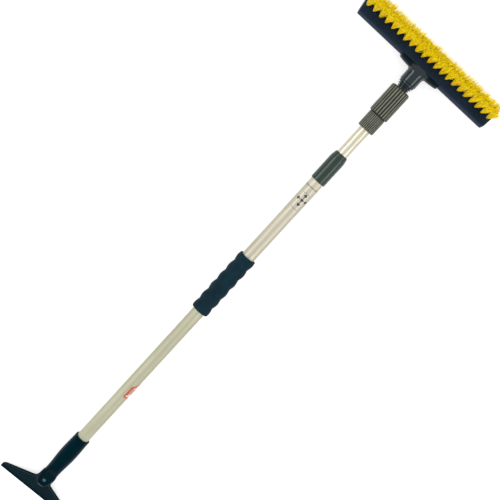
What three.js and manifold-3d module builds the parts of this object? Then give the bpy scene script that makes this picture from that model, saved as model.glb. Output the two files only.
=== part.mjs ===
// Telescoping snow brush with an ice scraper on its handle end.
// Millimetres. X runs along the handle from the scraper's edge to the brush, Z is up, and the
// tool lies on its scraper edge and on the foot of the brush saddle with its bristles upward.
// Stations are distances along the handle from the scraper's cutting edge.

import * as THREE from 'three';
import { mergeVertices } from 'three/addons/utils/BufferGeometryUtils.js';
import Module from 'manifold-3d';

const wasm = await Module();
wasm.setup();

// ---------------------------------------------------------------- driving dimensions

const GAP = 0.3;                  // clearance between pieces that touch on the real tool
const AXIS_HEIGHT = 22;           // handle axis above the surface that the tool lies on
const ROUND = 32;                 // facets round a tube
const GRIP_FACETS = 24;
const RIVET_FACETS = 12;
const BEYOND = 1;                 // how far a cutting tool runs past the piece that it cuts
const FILM_GAP = 0.15;            // clearance between a tube and the film on it

// A thinner tube carries the scraper; a thicker one starts under the grip and takes the lock sleeve.
const LOWER_TUBE = { start: 72, end: 478, outer: 11.35, bore: 10.3 };
const SPLICE = { end: 508, outer: 10.95 };   // reduced end of the lower tube, inside the upper one
const UPPER_TUBE = { start: 478.3, end: 800, outer: 11.85, bore: 11.15 };
const INNER_TUBE = { start: 200, end: 889, outer: 9.85, bore: 8.8 };

const SOCKET = { start: 62, neck: 67, belly: 112, rim: 151, steps: 6, bevel: 0.7 };
const SOCKET_RADIUS = { neck: 13.05, belly: 15.2, rim: 14.1 };
const BLADE = { halfWidth: 73.5, tipDepth: 13, tipRound: 5, slope: 20, edge: 1.2, land: 9 };
const THROAT = { shoulder: 31.5, shoulderHalf: 26.5, bend: 36, end: 57 };
const HUB = { top: 5, noseTop: -3, flatStart: 34, flatEnd: 53, noseTip: 26, noseCentre: 55 };
const DISH = { station: 44, radius: 8.3, depth: 1.4 };
const RIVET = { radius: 2, headRadius: 3, headHeight: 1.2, tailTop: -11.3, tailHeight: 0.9 };
const TONGUE = { tip: 35, width: 12, thickness: 5, plugLength: 18 };

const GRIP = { start: 458.5, length: 127.5, firstValley: 18.5, lobe: 22.1, crest: 16.4, valley: 14.4 };
const MAKER_LABEL = { start: 259, length: 30, angle: -53, arc: 84, slant: 7, film: 0.2 };
const PICTOGRAM_LABEL = { start: 686, length: 58, film: 0.2 };

const SLEEVE = { start: 754.5, end: 813.5, outer: 13.7, bevel: 0.6, cone: 10.3, mouth: 11.4 };

const SHOE = { start: 162, end: 192, wideCone: 6.2, narrowCone: 3.6, slot: 2 };
const SPINDLE = { flange: 4, flangeRadius: 9.7, plug: 22, shaft: 3, coneStart: 165, coneEnd: 190 };
const RETAINER = { start: 156, headRadius: 6, headHeight: 3.5, bevel: 1, shank: 1.6, reach: 14 };
const PIN = { radius: 1.5, hole: 1.8, spindleStation: 211, ferruleStation: 878 };

const FERRULE = { start: 867.8, end: 897.5, crest: 15.1, groove: 14.4, ribs: 30, bevel: 1.3 };
const NOSE = { end: 930, radius: 12.3, bevel: 1 };
const NUT = { start: 898, end: 952.8, crest: 17.65, groove: 16.6, ribs: 22, bevel: 1.2, shoulder: 3 };
const NUT_BORE = { radius: 12.7, seat: 932, coneEnd: 947, narrow: 9.9, mouth: 9.3 };
const RIB_CLEAR = 0.1;            // past the rib crests, where only the ends are turned to shape
const COLLET = { start: 933.5, end: 944.5, wide: 12, narrow: 9.95, slot: 1.6 };
const STEM = { bottom: 892, bevel: 0.8, shank: 8.9, core: 5.6, flangeStart: 955, cupFace: 965.2 };
const STEM_GROOVE = { radius: 8.1, play: 0.6 };
const STEM_RINGS = { count: 3, first: 11, last: 13.9, valley: 1.4 };
const SPIGOT = { radius: 9.6, end: 982 };

const CUP = { start: 965.6, end: 996, radius: 15.1, lip: 1.2 };
const SADDLE = { halfLength: 39.5, taper: 1.5, wall: 5.4, lipDepth: 1, frontAngle: 40 };
const FOOT = { back: -15, front: 5, halfLength: 34 };
const FOOT_TOP = 3;               // height of the foot above the middle of the block's face line
const SADDLE_SCREW = { y: 25, head: 3.6, headHeight: 2.2, shank: 1.6, reach: 12 };
const STEM_SCREW = { station: 975.8, head: 3.2, headHeight: 1.5, shank: 1.6, reach: 9, hole: 1.9 };
const SCREW_SINK = 0.1;           // how far a screw's head lies inside the surface round it

const BRISTLE_LEAN = 14;          // forward lean of the bristles from straight up, degrees
const FACE = { station: 1014.5, height: 10, halfWidth: 19 };
const BLOCK = { halfLength: 134.7, endSlant: 8, bulge: 21, shoulder: 8, depth: 26.5, edge: 1.5 };
const TUFT = { pitch: 13.05, rowOffset: 4.3, length: 38.5, rootX: 1.7, root: 2.2, tipX: 3.4, tipY: 5.8 };
const TUFT_SIDES = 8;
const STRIP = { halfWidth: 1.8, depth: 4, cover: 1 };
const NEAR_TUFTS = 21;
const FAR_TUFTS = 20;

// ---------------------------------------------------------------- materials

const material = (color, roughness, metalness = 0) =>
  new THREE.MeshStandardMaterial({ color, roughness, metalness });

const blackPlastic = material(0x11161a, 0.4);
const headPlastic = material(0x141a20, 0.45);
const sleevePlastic = material(0x1d2420, 0.3);
const ribbedPlastic = material(0x2a2c26, 0.5);
const blockPlastic = material(0x121c2c, 0.55);
const outerAluminium = material(0xc9c5b2, 0.38, 0.9);
const innerAluminium = material(0xd8d2c0, 0.3, 0.9);
const foam = material(0x0c1220, 0.95);
const steel = material(0x8f9294, 0.35, 1);
const whiteNylon = material(0xd9d8d0, 0.5);
const bristle = material(0xe0b80c, 0.6);
const redFilm = material(0xb5402f, 0.4);
const clearFilm = material(0xc8c8bc, 0.25);

// ---------------------------------------------------------------- solids and booleans

const radians = THREE.MathUtils.degToRad;

// A body turned about the handle axis, from [station, radius] points. The outer side is listed
// with the station rising. The profile ends on the axis or returns to its first point.
function turned(profile, facets = ROUND) {
  const points = profile.map(([station, radius]) => new THREE.Vector2(radius, station));
  return new THREE.LatheGeometry(points, facets).rotateZ(-Math.PI / 2);
}

function ring(start, end, outer, inner, facets = ROUND) {
  return turned([[start, outer], [end, outer], [end, inner], [start, inner], [start, outer]], facets);
}

function rod(start, end, radius, facets = ROUND) {
  return turned([[start, 0], [start, radius], [end, radius], [end, 0]], facets);
}

function box([x0, y0, z0], [x1, y1, z1]) {
  const shape = new THREE.BoxGeometry(x1 - x0, y1 - y0, z1 - z0);
  return shape.translate((x0 + x1) / 2, (y0 + y1) / 2, (z0 + z1) / 2);
}

// An upright pin, from z0 to z1.
function post(x, y, z0, z1, radius, facets = RIVET_FACETS) {
  const shape = new THREE.CylinderGeometry(radius, radius, z1 - z0, facets).rotateX(Math.PI / 2);
  return shape.translate(x, y, (z0 + z1) / 2);
}

// A side outline in X and Z, carried sideways from -halfWidth to +halfWidth.
function sideways(points, halfWidth) {
  const shape = new THREE.Shape(points.map(([x, z]) => new THREE.Vector2(x, z)));
  const settings = { depth: 2 * halfWidth, bevelEnabled: false };
  return new THREE.ExtrudeGeometry(shape, settings).rotateX(Math.PI / 2).translate(0, halfWidth, 0);
}

// A plan outline in X and Y, carried upward from z0 to z1.
function upright(shape, z0, z1, curveSegments = 8) {
  const settings = { depth: z1 - z0, bevelEnabled: false, curveSegments };
  return new THREE.ExtrudeGeometry(shape, settings).translate(0, 0, z0);
}

function solid(geometry) {
  const bare = geometry.clone();
  bare.deleteAttribute('normal');
  bare.deleteAttribute('uv');
  const merged = mergeVertices(bare, 1e-4);
  const corners = merged.index.array;
  const triVerts = [];
  for (let i = 0; i < corners.length; i += 3) {
    const [a, b, c] = corners.slice(i, i + 3);
    if (a !== b && b !== c && c !== a) triVerts.push(a, b, c);
  }
  return new wasm.Manifold(new wasm.Mesh({
    numProp: 3,
    vertProperties: new Float32Array(merged.attributes.position.array),
    triVerts: new Uint32Array(triVerts),
  }));
}

function geometryOf(body) {
  const { vertProperties, triVerts } = body.getMesh();
  const geometry = new THREE.BufferGeometry();
  geometry.setAttribute('position', new THREE.BufferAttribute(new Float32Array(vertProperties), 3));
  geometry.setIndex(new THREE.BufferAttribute(new Uint32Array(triVerts), 1));
  geometry.computeVertexNormals();
  return geometry;
}

const joined = (bodies) => bodies.map(solid).reduce((whole, body) => whole.add(body));

const cut = (body, tools) => tools.map(solid).reduce((rest, tool) => rest.subtract(tool), body);

const plainTube = ({ start, end, outer, bore }) => ring(start, end, outer, bore);

// The lower tube, with its far end drawn down to fit into the upper one.
function lowerTube() {
  const { start, end, outer, bore } = LOWER_TUBE;
  return turned([
    [start, outer],
    [end, outer],
    [end, SPLICE.outer],
    [SPLICE.end, SPLICE.outer],
    [SPLICE.end, bore],
    [start, bore],
    [start, outer],
  ]);
}

// ---------------------------------------------------------------- scraper head

const bladeRise = Math.tan(radians(BLADE.slope));

function bladePlan() {
  const { neck } = SOCKET_RADIUS;
  const { halfWidth, tipDepth, tipRound } = BLADE;
  const { shoulder, shoulderHalf, bend, end } = THROAT;
  const tipBend = tipDepth - tipRound / 2;
  const shape = new THREE.Shape();
  shape.moveTo(0, -halfWidth);
  shape.lineTo(0, halfWidth);
  shape.quadraticCurveTo(tipBend, halfWidth, tipDepth, halfWidth - tipRound);
  shape.lineTo(shoulder, shoulderHalf);
  shape.quadraticCurveTo(bend, neck, end, neck);
  shape.lineTo(end, -neck);
  shape.quadraticCurveTo(bend, -neck, shoulder, -shoulderHalf);
  shape.lineTo(tipDepth, tipRound - halfWidth);
  shape.quadraticCurveTo(tipBend, -halfWidth, 0, -halfWidth);
  return shape;
}

// The blade's side view: a flat land under the edge, then an underside and a top at one slope.
function bladeSide() {
  const back = THROAT.end + BEYOND;
  const top = (x) => BLADE.edge - AXIS_HEIGHT + x * bladeRise;
  const underside = (x) => (x - BLADE.land) * bladeRise - AXIS_HEIGHT;
  return [
    [0, -AXIS_HEIGHT],
    [BLADE.land, -AXIS_HEIGHT],
    [back, underside(back)],
    [back, top(back)],
    [0, top(0)],
  ];
}

// The neck runs on into a rounded nose whose top is planed level for the rivet.
function hub() {
  const reach = HUB.noseCentre - HUB.noseTip;
  const steps = 8;
  const nose = [[HUB.noseTip, 0]];
  for (let i = 1; i <= steps; i += 1) {
    const angle = (i / steps) * Math.PI / 2;
    nose.push([HUB.noseCentre - reach * Math.cos(angle), SOCKET_RADIUS.neck * Math.sin(angle)]);
  }
  const end = SOCKET.start + BEYOND;
  nose.push([end, SOCKET_RADIUS.neck], [end, 0]);
  const planed = [
    [HUB.noseTip - BEYOND, -AXIS_HEIGHT],
    [end + BEYOND, -AXIS_HEIGHT],
    [end + BEYOND, SOCKET_RADIUS.neck + BEYOND],
    [HUB.flatEnd, HUB.top],
    [HUB.flatStart, HUB.top],
    [HUB.noseTip - BEYOND, HUB.noseTop],
  ];
  return solid(turned(nose)).intersect(solid(sideways(planed, 2 * SOCKET_RADIUS.neck)));
}

// The socket swells smoothly from its neck to its belly and draws in again towards its rim.
function socketProfile() {
  const { start, neck, belly, rim, steps, bevel } = SOCKET;
  const profile = [[start, 0], [start, SOCKET_RADIUS.neck]];
  const swell = (from, to, low, high) => {
    for (let i = 1; i <= steps; i += 1) {
      const share = i / steps;
      const ease = (1 - Math.cos(share * Math.PI)) / 2;
      profile.push([from + (to - from) * share, low + (high - low) * ease]);
    }
  };
  profile.push([neck, SOCKET_RADIUS.neck]);
  swell(neck, belly, SOCKET_RADIUS.neck, SOCKET_RADIUS.belly);
  swell(belly, rim - bevel, SOCKET_RADIUS.belly, SOCKET_RADIUS.rim);
  profile.push([rim, SOCKET_RADIUS.rim - bevel], [rim, 0]);
  return profile;
}

function scraperHead() {
  const socket = turned(socketProfile());
  const blade = solid(upright(bladePlan(), -AXIS_HEIGHT, AXIS_HEIGHT))
    .intersect(solid(sideways(bladeSide(), BLADE.halfWidth + BEYOND)));
  const body = solid(socket).add(hub()).add(blade);
  const halfSlot = TONGUE.width / 2 + GAP;
  const halfThick = TONGUE.thickness / 2 + GAP;
  const dishFloor = HUB.top - DISH.depth;
  return geometryOf(cut(body, [
    rod(LOWER_TUBE.start - GAP, SOCKET.rim + BEYOND, LOWER_TUBE.outer + GAP),
    box([TONGUE.tip - GAP, -halfSlot, -halfThick], [LOWER_TUBE.start + BEYOND, halfSlot, halfThick]),
    post(DISH.station, 0, dishFloor, HUB.top + BEYOND, DISH.radius, GRIP_FACETS),
    post(DISH.station, 0, -AXIS_HEIGHT, AXIS_HEIGHT, RIVET.radius + GAP),
    post(DISH.station, 0, -AXIS_HEIGHT, RIVET.tailTop + GAP, RIVET.headRadius + 1),
  ]));
}

// ---------------------------------------------------------------- handle tube and what is on it

function tubePlug() {
  const plug = rod(LOWER_TUBE.start, LOWER_TUBE.start + TONGUE.plugLength, LOWER_TUBE.bore - GAP);
  const tongue = box(
    [TONGUE.tip, -TONGUE.width / 2, -TONGUE.thickness / 2],
    [LOWER_TUBE.start + BEYOND, TONGUE.width / 2, TONGUE.thickness / 2],
  );
  const hole = post(DISH.station, 0, -TONGUE.thickness, TONGUE.thickness, RIVET.radius + GAP);
  return geometryOf(cut(joined([plug, tongue]), [hole]));
}

function scraperRivet() {
  const floor = HUB.top - DISH.depth + GAP;
  const dome = new THREE.LatheGeometry([
    new THREE.Vector2(0, floor),
    new THREE.Vector2(RIVET.headRadius, floor),
    new THREE.Vector2(RIVET.headRadius * 0.8, floor + RIVET.headHeight * 0.7),
    new THREE.Vector2(0, floor + RIVET.headHeight),
  ], RIVET_FACETS).rotateX(Math.PI / 2).translate(DISH.station, 0, 0);
  const { radius, headRadius, tailTop, tailHeight } = RIVET;
  const shank = post(DISH.station, 0, tailTop - tailHeight / 2, floor + RIVET.headHeight / 4, radius);
  const tail = post(DISH.station, 0, tailTop - tailHeight, tailTop, headRadius);
  return geometryOf(joined([dome, shank, tail]));
}

// A patch of film on a tube: a slanted label when slant is given.
function filmPatch({ start, length, angle, arc, slant, film }) {
  const steps = 12;
  const inside = LOWER_TUBE.outer + FILM_GAP;
  const positions = [];
  for (let i = 0; i <= steps; i += 1) {
    const share = i / steps;
    const turn = radians(angle + (share - 0.5) * arc);
    const shift = (share - 0.5) * slant;
    for (const radius of [inside, inside + film]) {
      for (const station of [start + shift, start + length + shift]) {
        positions.push(station, radius * Math.sin(turn), radius * Math.cos(turn));
      }
    }
  }
  const faces = [];
  const quad = (a, b, c, d) => faces.push(a, b, c, a, c, d);
  for (let i = 0; i < steps; i += 1) {
    const [p, q] = [4 * i, 4 * i + 4];
    quad(p + 2, p + 3, q + 3, q + 2);
    quad(p + 1, p, q, q + 1);
    quad(p, p + 2, q + 2, q);
    quad(p + 3, p + 1, q + 1, q + 3);
  }
  const last = 4 * steps;
  quad(0, 1, 3, 2);
  quad(last + 1, last, last + 2, last + 3);
  const geometry = new THREE.BufferGeometry();
  geometry.setAttribute('position', new THREE.Float32BufferAttribute(positions, 3));
  geometry.setIndex(faces);
  geometry.computeVertexNormals();
  return geometry;
}

function pictogramLabel() {
  const inside = UPPER_TUBE.outer + FILM_GAP;
  const { start, length, film } = PICTOGRAM_LABEL;
  return ring(start, start + length, inside + film, inside);
}

// Round lobes at an even pitch, cut off square at both ends. The bore steps where the tube does.
function foamGrip() {
  const { start, length, firstValley, lobe, crest, valley } = GRIP;
  const end = start + length;
  const stepsPerLobe = 5;
  const count = Math.round((length / lobe) * stepsPerLobe);
  const outline = [];
  for (let i = 0; i <= count; i += 1) {
    const along = (i / count) * length;
    const swell = Math.abs(Math.sin(((along - firstValley) / lobe) * Math.PI)) ** 1.2;
    outline.push([start + along, valley + (crest - valley) * swell]);
  }
  const wide = UPPER_TUBE.outer + GAP;
  const narrow = LOWER_TUBE.outer + GAP;
  const step = UPPER_TUBE.start - GAP;
  return turned(
    [...outline, [end, wide], [step, wide], [step, narrow], [start, narrow], outline[0]],
    GRIP_FACETS,
  );
}

function lockSleeve() {
  const { start, end, outer, bevel, cone, mouth } = SLEEVE;
  const coneStart = end - cone;
  const shoulder = UPPER_TUBE.end + GAP;
  return turned([
    [start, outer - bevel],
    [start + bevel, outer],
    [coneStart, outer],
    [coneStart + cone / 3, outer - bevel],
    [end, mouth],
    [end, INNER_TUBE.outer + GAP],
    [shoulder, INNER_TUBE.outer + GAP],
    [shoulder, UPPER_TUBE.outer + GAP],
    [start, UPPER_TUBE.outer + GAP],
    [start, outer - bevel],
  ]);
}

// ---------------------------------------------------------------- twist lock inside the tubes

// A split sleeve that the spindle's cone spreads against the lower tube's bore.
function lockShoe() {
  const outer = LOWER_TUBE.bore - GAP;
  const wedge = turned([
    [SHOE.start, outer],
    [SHOE.end, outer],
    [SHOE.end, SHOE.wideCone],
    [SPINDLE.coneStart, SHOE.narrowCone],
    [SHOE.start, SHOE.narrowCone],
    [SHOE.start, outer],
  ]);
  const slot = box(
    [SHOE.start - BEYOND, 0, -SHOE.slot / 2],
    [SHOE.end + BEYOND, outer + BEYOND, SHOE.slot / 2],
  );
  return geometryOf(cut(solid(wedge), [slot]));
}

function lockSpindle() {
  const flangeStart = INNER_TUBE.start - GAP - SPINDLE.flange;
  const tip = RETAINER.start + RETAINER.headHeight + GAP;
  const coneRadius = SHOE.wideCone - 2 * GAP;
  const spindle = turned([
    [tip, 0],
    [tip, SPINDLE.shaft],
    [SPINDLE.coneStart, SPINDLE.shaft],
    [SPINDLE.coneEnd, coneRadius],
    [flangeStart, coneRadius],
    [flangeStart, SPINDLE.flangeRadius],
    [INNER_TUBE.start - GAP, SPINDLE.flangeRadius],
    [INNER_TUBE.start - GAP, INNER_TUBE.bore - GAP],
    [INNER_TUBE.start + SPINDLE.plug, INNER_TUBE.bore - GAP],
    [INNER_TUBE.start + SPINDLE.plug, 0],
  ]);
  const screwHole = rod(tip - BEYOND, tip + RETAINER.reach, RETAINER.shank + GAP, RIVET_FACETS);
  return geometryOf(cut(solid(spindle), [screwHole, spindlePinHole()]));
}

const pinHalf = INNER_TUBE.outer - FILM_GAP;

const spindlePinHole = () => post(PIN.spindleStation, 0, -AXIS_HEIGHT, AXIS_HEIGHT, PIN.hole);

const spindlePin = () => post(PIN.spindleStation, 0, -pinHalf, pinHalf, PIN.radius);

const crossways = (geometry) => geometry.rotateX(Math.PI / 2);

const ferrulePinHole = () => crossways(post(PIN.ferruleStation, 0, -AXIS_HEIGHT, AXIS_HEIGHT, PIN.hole));

function retainerScrew() {
  const { start, headRadius, headHeight, bevel, shank, reach } = RETAINER;
  return turned([
    [start, 0],
    [start, headRadius - bevel],
    [start + bevel, headRadius],
    [start + headHeight, headRadius],
    [start + headHeight, shank],
    [start + headHeight + reach - bevel, shank],
    [start + headHeight + reach, 0],
  ], RIVET_FACETS);
}

function innerTube() {
  return geometryOf(cut(solid(plainTube(INNER_TUBE)), [spindlePinHole(), ferrulePinHole()]));
}

// ---------------------------------------------------------------- ferrule, nut and collet

// A ribbed grip: flat-topped ribs round the handle axis, with the ends turned to a profile.
function ribbed({ start, end, crest, groove, ribs }, turnedProfile) {
  const outline = [];
  for (let i = 0; i < ribs; i += 1) {
    const corners = [[0.1, groove], [0.28, crest], [0.72, crest], [0.9, groove]];
    for (const [share, radius] of corners) {
      const turn = ((i + share) / ribs) * 2 * Math.PI;
      outline.push(new THREE.Vector2(radius * Math.cos(turn), radius * Math.sin(turn)));
    }
  }
  const settings = { depth: end - start, bevelEnabled: false };
  const bar = new THREE.ExtrudeGeometry(new THREE.Shape(outline), settings)
    .rotateY(Math.PI / 2).translate(start, 0, 0);
  return solid(bar).intersect(solid(turned(turnedProfile)));
}

function tubeFerrule() {
  const { start, end, crest, bevel } = FERRULE;
  const collar = ribbed(FERRULE, [
    [start, 0],
    [start, crest - bevel],
    [start + bevel, crest + RIB_CLEAR],
    [end, crest + RIB_CLEAR],
    [end, 0],
  ]);
  const nose = turned([
    [end - BEYOND, 0],
    [end - BEYOND, NOSE.radius],
    [NOSE.end - NOSE.bevel, NOSE.radius],
    [NOSE.end, NOSE.radius - NOSE.bevel],
    [NOSE.end, 0],
  ]);
  return geometryOf(cut(collar.add(solid(nose)), [
    rod(start - BEYOND, INNER_TUBE.end + GAP, INNER_TUBE.outer + GAP),
    rod(start, NOSE.end + BEYOND, STEM.shank + GAP),
    ferrulePinHole(),
  ]));
}

const ferrulePinHalf = FERRULE.groove - FILM_GAP;

const ferrulePin = () => crossways(
  post(PIN.ferruleStation, 0, -ferrulePinHalf, ferrulePinHalf, PIN.radius),
);

function lockNut() {
  const { start, end, crest, bevel, shoulder } = NUT;
  const { radius, seat, coneEnd, narrow, mouth } = NUT_BORE;
  const body = ribbed(NUT, [
    [start, 0],
    [start, crest - bevel],
    [start + bevel, crest + RIB_CLEAR],
    [end - shoulder, crest + RIB_CLEAR],
    [end - bevel, crest - bevel],
    [end, crest - shoulder],
    [end, 0],
  ]);
  return geometryOf(cut(body, [turned([
    [start - BEYOND, 0],
    [start - BEYOND, radius],
    [seat, radius],
    [coneEnd, narrow],
    [coneEnd, mouth],
    [end + BEYOND, mouth],
    [end + BEYOND, 0],
  ])]));
}

// A split ring that sits in the stem's groove and is squeezed by the nut's cone.
function colletRing() {
  const { start, end, wide, narrow, slot } = COLLET;
  const inside = STEM_GROOVE.radius + GAP;
  const cone = turned([[start, wide], [end, narrow], [end, inside], [start, inside], [start, wide]]);
  const split = box([start - BEYOND, 0, -slot / 2], [end + BEYOND, wide + BEYOND, slot / 2]);
  return geometryOf(cut(solid(cone), [split]));
}

// ---------------------------------------------------------------- brush head

function swivelStem() {
  const { bottom, bevel, shank, core, flangeStart, cupFace } = STEM;
  const { count, first, last, valley } = STEM_RINGS;
  const pitch = (cupFace - flangeStart) / count;
  const rings = [];
  for (let i = 0; i < count; i += 1) {
    const station = flangeStart + i * pitch;
    const radius = first + ((last - first) * i) / (count - 1);
    rings.push([station, radius], [station + pitch * 0.62, radius]);
    if (i < count - 1) {
      rings.push([station + pitch * 0.72, radius - valley], [station + pitch * 0.9, radius - valley]);
    }
  }
  const body = turned([
    [bottom, 0],
    [bottom, shank - bevel],
    [bottom + bevel, shank],
    [COLLET.start - STEM_GROOVE.play, shank],
    [COLLET.start - STEM_GROOVE.play, STEM_GROOVE.radius],
    [COLLET.end + STEM_GROOVE.play, STEM_GROOVE.radius],
    [COLLET.end + STEM_GROOVE.play, shank],
    [flangeStart, shank],
    ...rings,
    [cupFace, last],
    [cupFace, SPIGOT.radius],
    [SPIGOT.end, SPIGOT.radius],
    [SPIGOT.end, 0],
  ]);
  return geometryOf(cut(solid(body), [
    rod(bottom - BEYOND, cupFace, core),
    post(STEM_SCREW.station, 0, -AXIS_HEIGHT, -core / 2, STEM_SCREW.hole),
  ]));
}

// Across and out of the brush block's face: p runs forward along the face, q along the bristles.
const lean = radians(BRISTLE_LEAN);
const across = (p, q) => [
  FACE.station + p * Math.cos(lean) + q * Math.sin(lean),
  FACE.height - p * Math.sin(lean) + q * Math.cos(lean),
];

// The block's section: a flat face and a rounded back, grown by an offset for the saddle.
function blockSection(grow = 0, fromAngle = 0, toAngle = 180) {
  const steps = 16;
  const points = [];
  for (let i = 0; i <= steps; i += 1) {
    const angle = radians(fromAngle + ((toAngle - fromAngle) * i) / steps);
    const p = (BLOCK.bulge + grow) * Math.cos(angle);
    const q = -BLOCK.shoulder - (BLOCK.depth - BLOCK.shoulder + grow) * Math.sin(angle);
    points.push(across(p, q));
  }
  return points;
}

function blockOutline() {
  const { edge } = BLOCK;
  return [
    ...blockSection().reverse(),
    across(FACE.halfWidth, -edge),
    across(FACE.halfWidth - edge, 0),
    across(edge - FACE.halfWidth, 0),
    across(-FACE.halfWidth, -edge),
  ];
}

// Seen from above the block's ends slant, so it is longest on its far side.
function blockPlan() {
  const margin = 6;
  const endSlope = Math.tan(radians(BLOCK.endSlant));
  const near = across(-BLOCK.bulge, -BLOCK.shoulder)[0] - margin;
  const far = FACE.station + 2 * FACE.halfWidth;
  const nearHalf = BLOCK.halfLength - margin * endSlope;
  const farHalf = nearHalf + (far - near) * endSlope;
  const shape = new THREE.Shape();
  shape.moveTo(near, -nearHalf);
  shape.lineTo(far, -farHalf);
  shape.lineTo(far, farHalf);
  shape.lineTo(near, nearHalf);
  return shape;
}

function faceGroove(side, half) {
  const middle = side * TUFT.rowOffset;
  const inside = STRIP.halfWidth + GAP;
  return sideways([
    across(middle - inside, -STRIP.depth - GAP),
    across(middle + inside, -STRIP.depth - GAP),
    across(middle + inside, BEYOND),
    across(middle - inside, BEYOND),
  ], half + GAP);
}

const rowHalf = (count) => ((count - 1) * TUFT.pitch) / 2 + TUFT.root + GAP;

const footCentre = FACE.station + (FOOT.back + FOOT.front) / 2;

function brushBlock() {
  const bar = sideways(blockOutline(), 2 * BLOCK.halfLength);
  const body = solid(bar).intersect(solid(upright(blockPlan(), -2 * AXIS_HEIGHT, 2 * AXIS_HEIGHT)));
  const pilotTop = SADDLE_SCREW.reach + 4 * BEYOND - AXIS_HEIGHT;
  const pilots = [-1, 1].map((side) => post(
    footCentre, side * SADDLE_SCREW.y, -AXIS_HEIGHT, pilotTop, SADDLE_SCREW.shank + GAP,
  ));
  return geometryOf(cut(body, [
    faceGroove(-1, rowHalf(NEAR_TUFTS)),
    faceGroove(1, rowHalf(FAR_TUFTS)),
    ...pilots,
  ]));
}

// One row of tufts on a strip that lies in its groove. A tuft spreads from its root to its tip.
function bristleRow(side, count) {
  const middle = side * TUFT.rowOffset;
  const half = rowHalf(count);
  const strip = solid(sideways([
    across(middle - STRIP.halfWidth, -STRIP.depth),
    across(middle + STRIP.halfWidth, -STRIP.depth),
    across(middle + STRIP.halfWidth, -STRIP.cover),
    across(middle - STRIP.halfWidth, -STRIP.cover),
  ], half));
  const buried = STRIP.cover + BEYOND;
  const [rootX, rootZ] = across(middle, -buried);
  const height = TUFT.length + buried;
  const tufts = [];
  for (let i = 0; i < count; i += 1) {
    const tuft = new THREE.CylinderGeometry(1, 1, height, TUFT_SIDES);
    const place = tuft.attributes.position;
    for (let v = 0; v < place.count; v += 1) {
      const atTip = place.getY(v) > 0;
      const reachX = atTip ? TUFT.tipX : TUFT.rootX;
      const reachY = atTip ? TUFT.tipY : TUFT.root;
      place.setXYZ(v, place.getX(v) * reachX, place.getY(v) + height / 2, place.getZ(v) * reachY);
    }
    tuft.rotateX(Math.PI / 2).rotateY(lean);
    tuft.translate(rootX, (i - (count - 1) / 2) * TUFT.pitch, rootZ);
    tufts.push(tuft);
  }
  return geometryOf(tufts.map(solid).reduce((whole, tuft) => whole.add(tuft), strip));
}

// A cup for the stem on a saddle that wraps the block's back, with a level foot below.
function headSaddle() {
  const { start, end, radius, lip } = CUP;
  const cup = turned([
    [start, 0],
    [start, radius - lip],
    [start + lip, radius],
    [end, radius],
    [end, 0],
  ]);
  const { halfLength, wall, lipDepth, taper, frontAngle } = SADDLE;
  const outer = blockSection(wall, frontAngle);
  const inner = blockSection(GAP, frontAngle);
  const lipOuter = across(-BLOCK.bulge - wall + 1, -lipDepth);
  const lipInner = across(-BLOCK.bulge - GAP, -lipDepth);
  const shell = sideways([...outer, lipOuter, lipInner, ...inner.reverse()].reverse(), halfLength);
  const foot = box(
    [FACE.station + FOOT.back, -FOOT.halfLength, -AXIS_HEIGHT],
    [FACE.station + FOOT.front, FOOT.halfLength, FOOT_TOP - FACE.height],
  );
  const trimEnd = FACE.station + 2 * FACE.halfWidth;
  const trimPlan = new THREE.Shape([
    new THREE.Vector2(start - BEYOND, -halfLength + taper),
    new THREE.Vector2(trimEnd, -halfLength - taper),
    new THREE.Vector2(trimEnd, halfLength + taper),
    new THREE.Vector2(start - BEYOND, halfLength - taper),
  ]);
  const body = joined([cup, shell, foot])
    .intersect(solid(upright(trimPlan, -AXIS_HEIGHT, AXIS_HEIGHT)));
  const clearHalf = BLOCK.bulge + GAP;
  const blockRoom = [
    ...blockSection(GAP).reverse(),
    across(clearHalf, FACE.halfWidth),
    across(-clearHalf, FACE.halfWidth),
  ];
  const below = -AXIS_HEIGHT - BEYOND;
  const headTop = SADDLE_SCREW.headHeight + GAP - AXIS_HEIGHT;
  const screwRoom = [-1, 1].flatMap((side) => [
    post(footCentre, side * SADDLE_SCREW.y, below, 0, SADDLE_SCREW.shank + GAP),
    post(footCentre, side * SADDLE_SCREW.y, below, headTop, SADDLE_SCREW.head + GAP),
  ]);
  return geometryOf(cut(body, [
    sideways(blockRoom, 2 * halfLength),
    rod(start - BEYOND, SPIGOT.end + GAP, SPIGOT.radius + GAP),
    post(STEM_SCREW.station, 0, -AXIS_HEIGHT, 0, STEM_SCREW.hole),
    post(
      STEM_SCREW.station, 0, -AXIS_HEIGHT,
      STEM_SCREW.headHeight + SCREW_SINK + GAP - radius, STEM_SCREW.head + GAP,
    ),
    ...screwRoom,
  ]));
}

// A screw with a low bevelled head, driven upward from z0.
function upwardScrew(x, y, z0, { head, headHeight, shank, reach }) {
  const bevel = 0.6;
  const profile = [
    [0, 0],
    [head - bevel, 0],
    [head, bevel],
    [head, headHeight],
    [shank, headHeight],
    [shank, reach - shank],
    [0, reach],
  ];
  const points = profile.map(([radius, height]) => new THREE.Vector2(radius, height));
  const screw = new THREE.LatheGeometry(points, RIVET_FACETS).rotateX(Math.PI / 2);
  return screw.translate(x, y, z0);
}

const stemScrew = () => upwardScrew(STEM_SCREW.station, 0, SCREW_SINK - CUP.radius, STEM_SCREW);

const saddleScrew = (side) => upwardScrew(
  footCentre, side * SADDLE_SCREW.y, SCREW_SINK - AXIS_HEIGHT, SADDLE_SCREW,
);

// ---------------------------------------------------------------- assembly

const tool = new THREE.Group();

function add(name, geometry, finish) {
  const mesh = new THREE.Mesh(geometry, finish);
  mesh.name = name;
  tool.add(mesh);
}

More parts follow.
